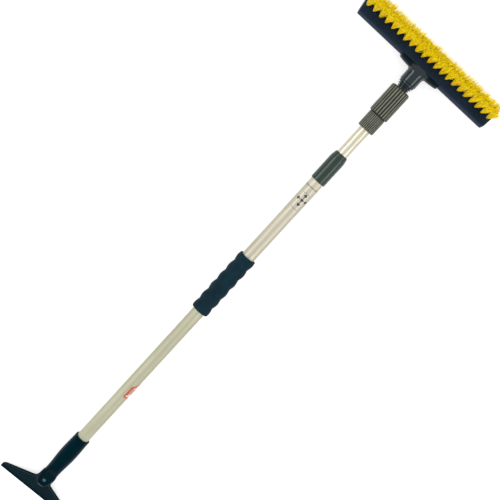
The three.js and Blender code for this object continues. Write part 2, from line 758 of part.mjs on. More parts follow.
add('scraper_head', scraperHead(), blackPlastic);
add('scraper_rivet', scraperRivet(), steel);
add('tube_plug', tubePlug(), whiteNylon);
add('lower_tube', lowerTube(), outerAluminium);
add('upper_tube', plainTube(UPPER_TUBE), outerAluminium);
add('maker_label', filmPatch(MAKER_LABEL), redFilm);
add('foam_grip', foamGrip(), foam);
add('pictogram_label', pictogramLabel(), clearFilm);
add('lock_sleeve', lockSleeve(), sleevePlastic);
add('lock_shoe', lockShoe(), whiteNylon);
add('lock_spindle', lockSpindle(), whiteNylon);
add('spindle_pin', spindlePin(), steel);
add('retainer_screw', retainerScrew(), steel);
add('inner_tube', innerTube(), innerAluminium);
add('tube_ferrule', tubeFerrule(), ribbedPlastic);
add('ferrule_pin', ferrulePin(), steel);
add('collet', colletRing(), whiteNylon);
add('lock_nut', lockNut(), ribbedPlastic);
add('swivel_stem', swivelStem(), headPlastic);
add('stem_screw', stemScrew(), steel);
add('head_saddle', headSaddle(), headPlastic);
add('saddle_screw_left', saddleScrew(1), steel);
add('saddle_screw_right', saddleScrew(-1), steel);
add('brush_block', brushBlock(), blockPlastic);
add('bristle_row_near', bristleRow(-1, NEAR_TUFTS), bristle);
add('bristle_row_far', bristleRow(1, FAR_TUFTS), bristle);

// The origin is the middle of the tool's footprint, on the surface that it lies on.
const bounds = new THREE.Box3().setFromObject(tool);
tool.position.set(-(bounds.min.x + bounds.max.x) / 2, 0, AXIS_HEIGHT);

const part = new THREE.Group();
part.add(tool);

export default part;
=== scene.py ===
"""Looks of the telescoping snow brush with its ice scraper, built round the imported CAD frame.

Shapes are worked out in millimetres as (station, y, z): the station is the distance along the
handle from the scraper's cutting edge, and y and z are measured from the handle's axis.
"""
import math

import bpy
import numpy as np
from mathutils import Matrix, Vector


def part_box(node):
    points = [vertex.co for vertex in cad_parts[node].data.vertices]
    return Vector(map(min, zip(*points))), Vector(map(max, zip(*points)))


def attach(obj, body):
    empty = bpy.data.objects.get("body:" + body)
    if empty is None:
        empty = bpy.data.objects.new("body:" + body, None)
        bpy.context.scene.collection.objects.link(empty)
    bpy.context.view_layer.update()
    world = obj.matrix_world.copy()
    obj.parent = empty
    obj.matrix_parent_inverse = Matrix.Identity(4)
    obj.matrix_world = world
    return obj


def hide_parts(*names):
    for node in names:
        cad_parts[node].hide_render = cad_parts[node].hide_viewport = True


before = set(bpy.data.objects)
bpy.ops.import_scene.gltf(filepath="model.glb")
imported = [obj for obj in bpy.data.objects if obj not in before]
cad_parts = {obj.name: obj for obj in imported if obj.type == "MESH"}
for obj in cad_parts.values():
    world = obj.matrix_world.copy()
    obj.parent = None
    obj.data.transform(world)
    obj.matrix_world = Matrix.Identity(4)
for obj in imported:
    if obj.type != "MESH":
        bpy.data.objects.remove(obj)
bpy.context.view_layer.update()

import openvdb
from mathutils import Matrix, Vector

MM = 0.001
GAP = 0.3                         # room between pieces that fit together
rng = np.random.default_rng(7)

# ------------------------------------------------------------------ places read from the frame

edge_corner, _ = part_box("scraper_head")
tube_low, tube_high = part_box("lower_tube")
ORIGIN = np.array([edge_corner.x, 0.0, (tube_low.z + tube_high.z) / 2])
FLOOR = -ORIGIN[2] / MM


def station(x):
    return (x - ORIGIN[0]) / MM


def span(node):
    """Start and end station of a node, and its radius across the tool."""
    low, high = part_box(node)
    return station(low.x), station(high.x), (high.y - low.y) / 2 / MM


# ------------------------------------------------------------------ mesh helpers


def facing_out(points, faces):
    """The faces, turned round if they enclose a negative volume."""
    corner = points[faces]
    volume = 0.0
    for k in range(1, faces.shape[1] - 1):
        volume += np.einsum("ij,ij->", corner[:, 0], np.cross(corner[:, k], corner[:, k + 1]))
    return faces if volume > 0 else faces[:, ::-1]


def new_object(name, points, faces, body, material, slot, stands_for=(), sharp=40):
    """A mesh from points in tool millimetres, riding on a body and standing for CAD nodes."""
    points = np.asarray(points, float)
    faces = np.ascontiguousarray(facing_out(points, np.asarray(faces, np.int32)))
    points = ORIGIN + MM * points
    sides = faces.shape[1]
    mesh = bpy.data.meshes.new(name)
    mesh.vertices.add(len(points))
    mesh.vertices.foreach_set("co", points.astype(np.float32).ravel())
    mesh.loops.add(faces.size)
    mesh.loops.foreach_set("vertex_index", faces.ravel())
    mesh.polygons.add(len(faces))
    mesh.polygons.foreach_set("loop_start", np.arange(0, faces.size, sides, dtype=np.int32))
    mesh.update(calc_edges=True)
    mesh.validate()
    mesh.polygons.foreach_set("use_smooth", np.ones(len(mesh.polygons), bool))
    if sharp:
        mesh.set_sharp_from_angle(angle=math.radians(sharp))
    mesh.materials.append(material)
    thing = bpy.data.objects.new(name, mesh)
    bpy.context.scene.collection.objects.link(thing)
    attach(thing, body)
    if stands_for:
        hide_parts(*stands_for)
    return thing


def joined(parts):
    """One points and faces pair from several."""
    points, faces, count = [], [], 0
    for some_points, some_faces in parts:
        points.append(np.asarray(some_points, float))
        faces.append(facing_out(points[-1], np.asarray(some_faces, int)) + count)
        count += len(some_points)
    return np.concatenate(points), np.concatenate(faces)


def softened(outline, size, closed=True, steps=4):
    """The outline with each corner replaced by a small curve that starts size before it."""
    outline = [np.array(p, float) for p in outline]
    count = len(outline)
    result = []
    for i, corner in enumerate(outline):
        if not closed and i in (0, count - 1):
            result.append(corner)
            continue
        before, after = outline[i - 1], outline[(i + 1) % count]
        back, ahead = before - corner, after - corner
        reach_back = min(size, 0.45 * np.linalg.norm(back))
        reach_ahead = min(size, 0.45 * np.linalg.norm(ahead))
        first = corner + back / np.linalg.norm(back) * reach_back
        last = corner + ahead / np.linalg.norm(ahead) * reach_ahead
        for step in range(steps + 1):
            t = step / steps
            result.append((1 - t) ** 2 * first + 2 * t * (1 - t) * corner + t * t * last)
    return result


def turned(outline, around=128, radial=None):
    """Points and quads of a closed (station, radius) outline turned about the handle axis.
    radial(angle, index) gives a change of radius for each angle and outline point."""
    outline = np.array(outline, float)
    count = len(outline)
    angle = np.linspace(0, 2 * math.pi, around, endpoint=False)
    radius = np.repeat(outline[None, :, 1], around, axis=0)
    if radial is not None:
        radius = radius + radial(angle, np.arange(count))
    points = np.stack([
        np.repeat(outline[None, :, 0], around, axis=0),
        radius * np.sin(angle)[:, None],
        radius * np.cos(angle)[:, None],
    ], axis=-1).reshape(-1, 3)
    i, j = np.meshgrid(np.arange(around), np.arange(count), indexing="ij")
    i2, j2 = (i + 1) % around, (j + 1) % count
    quads = np.stack([i * count + j, i2 * count + j, i2 * count + j2, i * count + j2], axis=-1)
    return points, quads.reshape(-1, 4)


def ring(start, end, outer, inner, soft=0.4, around=128):
    outline = [(start, outer), (end, outer), (end, inner), (start, inner)]
    return turned(softened(outline, soft), around)


# ------------------------------------------------------------------ solids from distance fields


def smaller(a, b, blend=0.0):
    """Union of two distance fields, with a fillet of about that size."""
    if not blend:
        return np.minimum(a, b)
    share = np.clip(0.5 + 0.5 * (b - a) / blend, 0, 1)
    return b * (1 - share) + a * share - blend * share * (1 - share)


def larger(a, b, blend=0.0):
    """Intersection of two distance fields, with a rounded edge of about that size."""
    return -smaller(-a, -b, blend)


def outline_distance(points, u, v):
    """Signed distance to a closed polygon, negative inside."""
    points = np.array(points, float)
    nearest = np.full(np.broadcast(u, v).shape, 1e9)
    inside = np.zeros(nearest.shape, bool)
    for (x0, y0), (x1, y1) in zip(points, np.roll(points, -1, axis=0)):
        ex, ey = x1 - x0, y1 - y0
        wx, wy = u - x0, v - y0
        along = np.clip((wx * ex + wy * ey) / (ex * ex + ey * ey), 0, 1)
        nearest = np.minimum(nearest, (wx - along * ex) ** 2 + (wy - along * ey) ** 2)
        crosses = (y0 > v) != (y1 > v)
        if abs(ey) > 1e-12:
            inside ^= crosses & (u < ex * (v - y0) / ey + x0)
    return np.where(inside, -1, 1) * np.sqrt(nearest)


PROJECTIONS = 3                   # times that each point is moved onto the surface
PROBE = 0.05                      # reach to each side when a field's slope is measured


def surface_of(field, low, high, voxel):
    """Points and quads of the zero surface of field(x, y, z), each point moved onto it."""
    low, high = np.array(low, float), np.array(high, float)
    counts = np.ceil((high - low) / voxel).astype(int) + 1
    axes = [low[k] + voxel * np.arange(counts[k]) for k in range(3)]
    values = field(axes[0][:, None, None], axes[1][None, :, None], axes[2][None, None, :])
    values = np.broadcast_to(values, counts).astype(np.float32)
    grid = openvdb.FloatGrid(float(4 * voxel))
    grid.copyFromArray(np.ascontiguousarray(np.clip(values, -4 * voxel, 3.9 * voxel)))
    points, quads = grid.convertToQuads(0.0)
    points = low + points.astype(float) * voxel
    for _ in range(PROJECTIONS):
        x, y, z = points.T
        here = field(x, y, z)
        slope = np.stack([
            field(x + PROBE, y, z) - field(x - PROBE, y, z),
            field(x, y + PROBE, z) - field(x, y - PROBE, z),
            field(x, y, z + PROBE) - field(x, y, z - PROBE),
        ], axis=-1) / (2 * PROBE)
        size = np.maximum((slope ** 2).sum(1), 0.25)
        move = slope * (here / size)[:, None]
        length = np.linalg.norm(move, axis=1, keepdims=True)
        points = points - move * np.minimum(1, 0.5 * voxel / np.maximum(length, 1e-9))
    return points, quads


# ------------------------------------------------------------------ materials


class Nodes:
    """A new material's node tree, with short calls for the nodes used here."""

    def __init__(self, name):
        self.material = bpy.data.materials.new(name)
        self.material.use_nodes = True
        self.tree = self.material.node_tree
        self.shader = self.tree.nodes["Principled BSDF"]
        self.place = self.tree.nodes.new("ShaderNodeTexCoord").outputs["Object"]

    def put(self, socket, value):
        if isinstance(value, bpy.types.NodeSocket):
            self.tree.links.new(value, socket)
        elif isinstance(value, (tuple, list)) and len(value) == 3 and socket.type == "RGBA":
            socket.default_value = (*value, 1.0)
        else:
            socket.default_value = value

    def set(self, **values):
        for key, value in values.items():
            self.put(self.shader.inputs[key.replace("_", " ")], value)

    def noise(self, scale, stretch=(1, 1, 1), detail=4.0, roughness=0.55):
        mapping = self.tree.nodes.new("ShaderNodeMapping")
        mapping.inputs["Scale"].default_value = stretch
        self.tree.links.new(self.place, mapping.inputs["Vector"])
        node = self.tree.nodes.new("ShaderNodeTexNoise")
        node.inputs["Scale"].default_value = scale
        node.inputs["Detail"].default_value = detail
        node.inputs["Roughness"].default_value = roughness
        self.tree.links.new(mapping.outputs[0], node.inputs["Vector"])
        return node.outputs["Fac"]

    def cells(self, scale):
        node = self.tree.nodes.new("ShaderNodeTexVoronoi")
        node.inputs["Scale"].default_value = scale
        self.tree.links.new(self.place, node.inputs["Vector"])
        return node.outputs["Distance"]

    def ramp(self, value, stops):
        node = self.tree.nodes.new("ShaderNodeValToRGB")
        elements = node.color_ramp.elements
        while len(elements) < len(stops):
            elements.new(0.5)
        for element, (position, colour) in zip(elements, stops):
            if not isinstance(colour, (tuple, list)):
                colour = (colour, colour, colour)
            element.position = position
            element.color = (*colour, 1.0)
        self.tree.links.new(value, node.inputs["Fac"])
        return node.outputs["Color"]

    def span(self, value, low, high, start=0.0, end=1.0):
        node = self.tree.nodes.new("ShaderNodeMapRange")
        for key, number in zip(("From Min", "From Max", "To Min", "To Max"), (start, end, low, high)):
            node.inputs[key].default_value = number
        self.tree.links.new(value, node.inputs["Value"])
        return node.outputs["Result"]

    def math(self, operation, a, b):
        node = self.tree.nodes.new("ShaderNodeMath")
        node.operation = operation
        self.put(node.inputs[0], a)
        self.put(node.inputs[1], b)
        return node.outputs[0]

    def mix(self, share, a, b):
        node = self.tree.nodes.new("ShaderNodeMix")
        node.data_type = "RGBA"
        self.put(node.inputs["Factor"], share)
        self.put(node.inputs["A"], a)
        self.put(node.inputs["B"], b)
        return node.outputs["Result"]

    def bump(self, height, strength, distance, below=None):
        node = self.tree.nodes.new("ShaderNodeBump")
        node.inputs["Strength"].default_value = strength
        node.inputs["Distance"].default_value = distance
        self.tree.links.new(height, node.inputs["Height"])
        if below is not None:
            self.tree.links.new(below, node.inputs["Normal"])
        return node.outputs["Normal"]

    def edges(self, low=0.5, high=0.6):
        """1 on outward edges and 0 on flat or hollow places."""
        node = self.tree.nodes.new("ShaderNodeNewGeometry")
        return self.span(node.outputs["Pointiness"], 0.0, 1.0, low, high)

    def attribute(self, name):
        node = self.tree.nodes.new("ShaderNodeAttribute")
        node.attribute_name = name
        return node.outputs["Color"]


GLOSSY_HALF_WIDTH = (0.0145, 0.0185)   # metres from the axis where a glossy skin starts to fade and ends


def plastic(name, dark, light, roughness, grain=0.25, wear_and_glint=(0.10, 0.11, 0.12), gloss=0.5,
            tint=(1, 1, 1), polish=0):
    """Moulded plastic: slow colour drift, fine moulded grain, and edges and a few scuffs in a second
    colour, which is rubbed wear on most parts and a painted highlight on the stem's ring edges.

    polish is the weight of a glossy skin, which fades out to each side of the handle.
    """
    n = Nodes(name)
    if polish:
        axes = n.tree.nodes.new("ShaderNodeSeparateXYZ")
        n.tree.links.new(n.place, axes.inputs[0])
        aside = n.math("ABSOLUTE", axes.outputs["Y"], 0.0)
        n.set(Coat_Weight=n.span(aside, polish, 0.0, *GLOSSY_HALF_WIDTH), Coat_Roughness=0.13)
    drift = n.noise(28, detail=3)
    colour = n.ramp(drift, [(0.35, dark), (0.65, light)])
    scuffs = n.span(n.noise(60, (0.25, 2.2, 2.2), 6, 0.7), 0, 1, 0.62, 0.74)
    # Outward edges take the second colour: rubbed wear on most parts, a painted highlight on the stem's
    # ring crests.
    edge_wear_and_glint = n.math("MULTIPLY", n.edges(0.53, 0.64), n.span(n.noise(300, detail=5), 0.2, 0.9, 0.3, 0.7))
    colour = n.mix(n.math("MULTIPLY", scuffs, 0.10), colour, wear_and_glint)
    colour = n.mix(n.math("MULTIPLY", edge_wear_and_glint, 0.45), colour, wear_and_glint)
    rough = n.math("ADD", n.span(n.noise(90, detail=5), roughness - 0.06, roughness + 0.06, 0.3, 0.7),
                   n.math("MULTIPLY", scuffs, 0.10))
    fine = n.bump(n.noise(2600, detail=2), grain, 0.00006)
    n.set(Base_Color=colour, Roughness=rough, Specular_IOR_Level=gloss, Specular_Tint=tint,
          Normal=n.bump(n.noise(160, detail=3), 0.12, 0.0004, fine))
    return n.material


def ribbed(name, crest, depth):
    """Moulded ribs round the handle axis: painted shade darkens the grooves and a painted highlight
    lightens the crests, broken up by noise.
    """
    n = Nodes(name)
    flat = n.tree.nodes.new("ShaderNodeMapping")
    flat.inputs["Location"].default_value = (0, 0, -ORIGIN[2])
    flat.inputs["Scale"].default_value = (0, 1, 1)
    n.tree.links.new(n.place, flat.inputs["Vector"])
    length = n.tree.nodes.new("ShaderNodeVectorMath")
    length.operation = "LENGTH"
    n.tree.links.new(flat.outputs[0], length.inputs[0])
    height = n.span(length.outputs["Value"], 0, 1, (crest - depth) * MM, (crest - 0.1) * MM)
    # Painted light: the colour below is dark in the grooves as painted shade and pale on the crests as a
    # painted highlight, broken up by noise.
    crest_light = n.math("MULTIPLY", height, n.span(n.noise(220, (0.4, 1, 1), 4), 0.75, 1.0, 0.3, 0.7))
    colour = n.ramp(crest_light, [(0.1, (0.012, 0.014, 0.010)), (0.55, (0.045, 0.048, 0.035)),
                             (0.95, (0.145, 0.150, 0.108))])
    fine = n.bump(n.noise(2600, detail=2), 0.3, 0.00006)
    n.set(Base_Color=colour, Roughness=n.span(crest_light, 0.50, 0.38), Specular_IOR_Level=0.35, Normal=fine)
    return n.material


def aluminium(name, dark, light, roughness):
    """Drawn and anodised tube: fine lines along its length, faint clouds and small nicks."""
    n = Nodes(name)
    lines = n.noise(900, (0.012, 1, 1), 5, 0.6)
    clouds = n.noise(14, (0.5, 1, 1), 3)
    colour = n.ramp(clouds, [(0.3, dark), (0.7, light)])
    colour = n.mix(n.span(lines, 0.0, 0.22, 0.35, 0.75), colour, tuple(0.72 * c for c in dark))
    nicks = n.span(n.noise(420, (0.5, 1, 1), 2), 0, 1, 0.70, 0.78)
    colour = n.mix(n.math("MULTIPLY", nicks, 0.3), colour, (0.35, 0.33, 0.29))
    rough = n.math("ADD", n.span(lines, roughness - 0.07, roughness + 0.09, 0.3, 0.7),
                   n.math("MULTIPLY", nicks, 0.2))
    n.set(Base_Color=colour, Metallic=1.0, Roughness=rough,
          Normal=n.bump(lines, 0.22, 0.00005))
    return n.material


def foam_rubber(name):
    """Closed-cell foam: skinned matt surface with open pores, darkened with painted shade, and a dusty
    bloom.
    """
    n = Nodes(name)
    pores = n.cells(1500)
    pit_shade = n.span(pores, 1.0, 0.0, 0.05, 0.38)
    bloom = n.noise(70, detail=5)
    colour = n.ramp(bloom, [(0.3, (0.0015, 0.012, 0.020)), (0.72, (0.004, 0.024, 0.036))])
    # Painted shade: the pores are darkened.
    colour = n.mix(n.math("MULTIPLY", pit_shade, 0.6), colour, (0.001, 0.006, 0.010))
    soft = n.bump(n.noise(420, detail=4), 0.35, 0.0004)
    n.set(Base_Color=colour, Roughness=n.span(bloom, 0.78, 0.95), Specular_IOR_Level=0.1,
          Normal=n.bump(pores, 0.5, 0.0003, soft))
    n.set(Sheen_Weight=0.03, Sheen_Roughness=0.5)
    return n.material


def bristle_plastic(name):
    """Bright yellow filament, with painted highlights making it pale at the root and lighter at the tip,
    each strand a little different.
    """
    n = Nodes(name)
    tone = n.attribute("strand_colour")
    streak = n.noise(500, (1, 1, 0.2), 3)
    colour = n.mix(n.span(streak, 0.0, 0.2, 0.4, 0.8), tone, (0.95, 0.50, 0.002))
    n.set(Base_Color=colour, Roughness=n.span(streak, 0.45, 0.6), Specular_IOR_Level=0.25)
    n.set(Emission_Color=colour, Emission_Strength=0.05)      # painted glow: emission brightens the filaments in place of light passing through them
    n.set(Normal=n.bump(n.noise(2500, detail=2), 0.1, 0.00004))
    return n.material


def steel(name, colour=(0.55, 0.55, 0.54), roughness=0.35):
    n = Nodes(name)
    swirl = n.noise(700, detail=5)
    n.set(Base_Color=n.ramp(swirl, [(0.3, tuple(0.7 * c for c in colour)), (0.7, colour)]),
          Metallic=1.0, Roughness=n.span(swirl, roughness - 0.08, roughness + 0.12, 0.3, 0.7),
          Normal=n.bump(swirl, 0.15, 0.00005))
    return n.material


def film(name, colour, roughness, metallic=0.0):
    """Printed label film with a slightly uneven, lightly scratched surface."""
    n = Nodes(name)
    cloud = n.noise(120, detail=4)
    scratches = n.span(n.noise(1200, (0.05, 1, 1), 3), 0, 1, 0.66, 0.74)
    darker = tuple(0.88 * c for c in colour)
    paler = tuple(min(1, 1.3 * c + 0.02) for c in colour)
    clouded = n.ramp(cloud, [(0.3, darker), (0.7, colour)])
    n.set(Base_Color=n.mix(n.math("MULTIPLY", scratches, 0.25), clouded, paler), Metallic=metallic,
          Roughness=n.span(cloud, roughness - 0.05, roughness + 0.08),
          Normal=n.bump(cloud, 0.1, 0.0001))
    return n.material


SCRAPER_BLACK = plastic("scraper_black", (0.0002, 0.0048, 0.008), (0.0004, 0.008, 0.013), 0.36, 0.10,
                        wear_and_glint=(0.002, 0.02, 0.03), gloss=0.07, tint=(0.0, 0.75, 1.0))
HEAD_BLACK = plastic("head_black", (0.0002, 0.002, 0.004), (0.0006, 0.004, 0.008), 0.22, 0.12,
                     wear_and_glint=(0.05, 0.06, 0.07), gloss=0.16, tint=(0.5, 0.88, 1.0), polish=0.7)
# The stem's pale edge colour is a painted highlight that lights up its ring crests.
STEM_BLACK = plastic("stem_black", (0.001, 0.004, 0.008), (0.003, 0.008, 0.014), 0.20, 0.12,
                     wear_and_glint=(0.40, 0.46, 0.48), gloss=0.6, tint=(0.8, 0.95, 1.0))
SLEEVE_DARK = plastic("sleeve_dark", (0.002, 0.006, 0.0045), (0.004, 0.010, 0.0075), 0.30, 0.10,
                      wear_and_glint=(0.04, 0.05, 0.045), gloss=0.6, tint=(0.8, 1.0, 0.9))
FERRULE_DARK = ribbed("ferrule_dark", 15.1, 1.0)
NUT_DARK = ribbed("nut_dark", 17.65, 1.7)
BLOCK_NAVY = plastic("block_navy", (0.003, 0.008, 0.020), (0.006, 0.013, 0.030), 0.44, 0.35,
                     wear_and_glint=(0.05, 0.06, 0.07), gloss=0.22, tint=(0.5, 0.75, 1.0))
NYLON = plastic("natural_nylon", (0.52, 0.51, 0.46), (0.66, 0.65, 0.60), 0.45, wear_and_glint=(0.7, 0.7, 0.68))
OUTER_METAL = aluminium("outer_aluminium", (0.445, 0.435, 0.32), (0.52, 0.51, 0.385), 0.62)
UPPER_METAL = aluminium("upper_aluminium", (0.46, 0.43, 0.34), (0.535, 0.50, 0.40), 0.54)
INNER_METAL = aluminium("inner_aluminium", (0.52, 0.49, 0.385), (0.59, 0.56, 0.45), 0.42)
FOAM = foam_rubber("grip_foam")
BRISTLE = bristle_plastic("bristle_yellow")
STEEL = steel("zinc_steel")
DARK_STEEL = steel("blackened_rivet", (0.10, 0.13, 0.16), 0.4)
RED_INK = film("label_red", (0.46, 0.085, 0.035), 0.5)
SILVER_FILM = film("label_silver", (0.66, 0.63, 0.55), 0.35, metallic=0.6)
CLEAR_FILM = film("label_clear", (0.50, 0.465, 0.38), 0.50, metallic=0.9)
DARK_INK = film("label_ink", (0.018, 0.018, 0.020), 0.4)

# ------------------------------------------------------------------ scraper head

BLADE_SLOPE = math.tan(math.radians(20))
NECK_STATION, NECK_RADIUS = 67.0, 13.05
BELLY_STATION, BELLY_RADIUS, RIM_RADIUS = 112.0, 15.2, 14.1
DISH_STATION, DISH_RADIUS, DISH_DEPTH = 44.0, 8.3, 1.1
HUB_TOP, HUB_START, HUB_END, RISE_END = 5.0, 34.0, 51.0, 74.0
NOSE_CENTRE, NOSE_LENGTH = 55.0, 29.0
SLOT_CENTRE, SLOT_HALF_LENGTH = 54, 19.3
TONGUE_HALF_WIDTH, TONGUE_HALF_HEIGHT = 6.3, 2.6
RIVET_HOLE = 2.3
TIP_CORNER, THROAT_CORNER = (31.5, 26.5), (36.5, NECK_RADIUS + 1.5)


def blade_outline(half_width):
    """Plan of the blade: straight edge, short rounded tips and long rear edges to the neck."""
    side = [(0, 0), (0, half_width)]
    tip = softened([(0, half_width), (12.5, half_width), TIP_CORNER], 7, closed=False)
    throat = softened([TIP_CORNER, THROAT_CORNER, (57, NECK_RADIUS - 1.5)], 8, closed=False)
    upper = side + [tuple(p) for p in tip[1:-1]] + [tuple(p) for p in throat]
    lower = [(s, -y) for s, y in reversed(upper[1:])]
    return upper + lower


def eased(share):
    """0 to 1 with a level start and end."""
    return 0.5 - 0.5 * np.cos(math.pi * np.clip(share, 0, 1))


def scraper_field(half_width, rim, bore, bore_start):
    outline = blade_outline(half_width)
    bowl = (DISH_RADIUS ** 2 + DISH_DEPTH ** 2) / (2 * DISH_DEPTH)

    def field(s, y, z):
        across = np.sqrt(y * y + z * z)
        swell = NECK_RADIUS + (BELLY_RADIUS - NECK_RADIUS) * eased(
            (s - NECK_STATION) / (BELLY_STATION - NECK_STATION))
        swell = swell - (BELLY_RADIUS - RIM_RADIUS) * eased((s - BELLY_STATION) / (rim - BELLY_STATION))
        socket = larger(larger(across - swell, s - rim, 1.0), NOSE_CENTRE - s)
        nose = np.sqrt((np.maximum(NOSE_CENTRE - s, 0) / NOSE_LENGTH) ** 2 + (across / NECK_RADIUS) ** 2)
        hub = larger((nose - 1) * 0.8 * NECK_RADIUS, s - NECK_STATION)
        body = smaller(socket, hub)
        rise = np.maximum(s - HUB_END, 0) / (RISE_END - HUB_END)
        level = HUB_TOP - np.maximum(HUB_START - s, 0) + 8.6 * rise ** 2
        body = larger(body, (z - level) * 0.75, 3.0)
        plan = outline_distance(outline, s, y)
        middle = FLOOR + 0.6 + 1.65 * np.clip(s / 50, 0, 1) + np.maximum(s - 4.5, 0) * BLADE_SLOPE * 0.94
        rear_bead = np.exp(-((plan + 1.9) / 1.3) ** 2) * np.clip((s - 9) / 6, 0, 1)
        thick = 0.65 + 1.55 * np.clip(s / 40, 0, 1) + 1.0 * rear_bead
        plate = (np.abs(z - middle) - thick) * 0.94
        blade = larger(larger(plan, plate, 1.1), FLOOR - z)
        whole = smaller(body, blade, 7)
        from_pin = np.hypot(s - DISH_STATION, y)
        dish = bowl - np.sqrt(from_pin ** 2 + (z - HUB_TOP - bowl + DISH_DEPTH) ** 2)
        whole = larger(whole, np.minimum(dish, -larger(from_pin - DISH_RADIUS, -z, 0.4)), 0.5)
        hole = larger(across - bore, bore_start - s)
        tongue_room = larger(np.abs(y) - TONGUE_HALF_WIDTH, np.abs(z) - TONGUE_HALF_HEIGHT)
        slot = larger(tongue_room, np.abs(s - SLOT_CENTRE) - SLOT_HALF_LENGTH)
        for tool in (hole, slot, from_pin - RIVET_HOLE):
            whole = larger(whole, -tool, 0.3)
        return larger(whole, FLOOR - z)

    return field


def build_scraper():
    start, rim, half_width = span("scraper_head")
    tube_start, _, tube_radius = span("lower_tube")
    field = scraper_field(half_width, rim, tube_radius + GAP, tube_start - GAP)
    voxel = 0.7
    points, quads = surface_of(
        field, (start - 2, -half_width - 2, FLOOR - 2), (rim + 2, half_width + 2, 17.5), voxel
    )
    new_object("scraper_blade", points, quads, "handle", SCRAPER_BLACK, "scraper_plastic",
               ["scraper_head"], sharp=50)


def build_rivet():
    """A domed head in the dish, with a collar round it, and a closed head below."""
    low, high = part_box("scraper_rivet")
    top = (high.z - ORIGIN[2]) / MM
    bottom = (low.z - ORIGIN[2]) / MM
    shank = 2.0
    outline = [(bottom, 0.001), (bottom, 2.6), (bottom + 0.5, 3.0), (bottom + 0.9, 3.0),
               (bottom + 0.9, shank), (top - 1.4, shank), (top - 1.4, 3.1), (top - 0.9, 3.1),
               (top - 0.35, 2.3), (top, 0.9), (top, 0.001)]
    points, quads = turned(softened(outline, 0.25, closed=False), 48)
    centre = station((low.x + high.x) / 2)
    upright = np.stack([points[:, 2] + centre, points[:, 1], points[:, 0]], axis=-1)
    new_object("scraper_rivet_head", upright, quads, "handle", DARK_STEEL, "steel",
               ["scraper_rivet"])


# ------------------------------------------------------------------ tubes, grip and sleeve

TUBE_WALL, UPPER_WALL = 1.05, 0.7
SPLICE_STEP = 0.4                 # the lower tube is this much thinner where it enters the upper one
GRIP_INSET, GRIP_END_INSET = 2.6, 1.9
GRIP_VALLEY, GRIP_LOBE, GRIP_DEPTH = 18.5 - GRIP_INSET, 22.1, 2.0


def build_tubes():
    start, end, outer = span("lower_tube")
    upper_start, upper_end, upper_outer = span("upper_tube")
    splice, step = outer - SPLICE_STEP, upper_start - GAP
    outline = [(start, outer), (step, outer), (step, splice), (end, splice),
               (end, outer - TUBE_WALL), (start, outer - TUBE_WALL)]
    new_object("pole_lower", *turned(softened(outline, 0.3), 160), "handle", OUTER_METAL,
               "outer_aluminium", ["lower_tube"])
    upper_bore = upper_outer - UPPER_WALL
    new_object("pole_upper", *ring(upper_start, upper_end, upper_outer, upper_bore, 0.3, 160),
               "handle", UPPER_METAL, "outer_aluminium", ["upper_tube"])
    start, end, outer = span("inner_tube")
    new_object("pole_inner", *ring(start, end, outer, outer - TUBE_WALL, 0.3, 144), "inner_pole",
               INNER_METAL, "inner_aluminium", ["inner_tube"])


def build_grip():
    """Foam sleeve with an even run of round lobes, slightly uneven as pulled-on foam is."""
    start, end, crest = span("foam_grip")
    start, end = start + GRIP_INSET, end - GRIP_END_INSET
    upper_start, _, upper_outer = span("upper_tube")
    wide, narrow = upper_outer + 0.25, span("lower_tube")[2] + 0.25
    step = upper_start - GAP
    rows, around = 280, 150
    along = np.linspace(0, end - start, rows)
    swell = np.abs(np.sin((along - GRIP_VALLEY) / GRIP_LOBE * math.pi)) ** 1.25
    radius = crest - GRIP_DEPTH + (GRIP_DEPTH - 0.1) * swell
    outline = [(start + distance, r) for distance, r in zip(along, radius)]
    first, last = outline[0][1], outline[-1][1]
    mouth = softened([outline[-1], (end, last - 2.0), (end - 0.2, wide)], 1.0, closed=False)
    close = softened([(start + 0.2, narrow), (start, first - 3.0), outline[0]], 1.6, closed=False)
    profile = outline + mouth[1:] + [(step, wide), (step, narrow)] + close[:-1]
    phases = rng.uniform(0, 2 * math.pi, (5, 2))

    def uneven(angle, index):
        share = np.clip(index / rows, 0, 1)
        change = np.zeros((len(angle), len(index)))
        for k, (a, b) in enumerate(phases):
            change += 0.05 * np.sin((k + 1) * angle[:, None] + a + 5 * (k + 1) * share[None, :] + b)
        skin = rng.normal(0, 0.03, change.shape)
        return np.where(index[None, :] < rows, change + skin, 0)

    grip = new_object("grip_foam_sleeve", *turned(profile, around, uneven), "handle", FOAM, "foam",
                      ["foam_grip"], sharp=0)


def build_sleeve():
    start, end, outer = span("lock_sleeve")
    inner_outer = span("inner_tube")[2]
    _, tube_end, tube_outer = span("upper_tube")
    cone = end - 10.3
    outline = [
        (start, outer - 0.5), (start + 0.9, outer), (cone - 1, outer), (cone + 1.6, outer - 0.4),
        (end - 0.6, 11.75), (end, 11.3), (end, inner_outer + 0.35), (tube_end + 0.5, inner_outer + 0.35),
        (tube_end + 0.5, tube_outer + GAP), (start, tube_outer + GAP),
    ]
    new_object("lock_sleeve_shell", *turned(softened(outline, 1.1, steps=6), 144), "handle",
               SLEEVE_DARK, "sleeve_plastic", ["lock_sleeve"])


# ------------------------------------------------------------------ labels


INK_THICK = 0.18                  # red print, from the tube out through its film
FILM_THICK = 0.14                 # clear film, from the tube out
BOWED_HALF_ARC = 7.5              # half the length of each bowed line, round the tube


def laid_on_tube(lines, radius, thick):
    """Points of flat (station, arc) lines, first all on top of the film and then all on the tube."""
    points = []
    for level in (thick, 0.0):
        for line in lines:
            turn = line[:, 1] / radius
            r = radius + level
            points.append(np.stack([line[:, 0], r * np.sin(turn), r * np.cos(turn)], axis=-1))
    return np.concatenate(points)


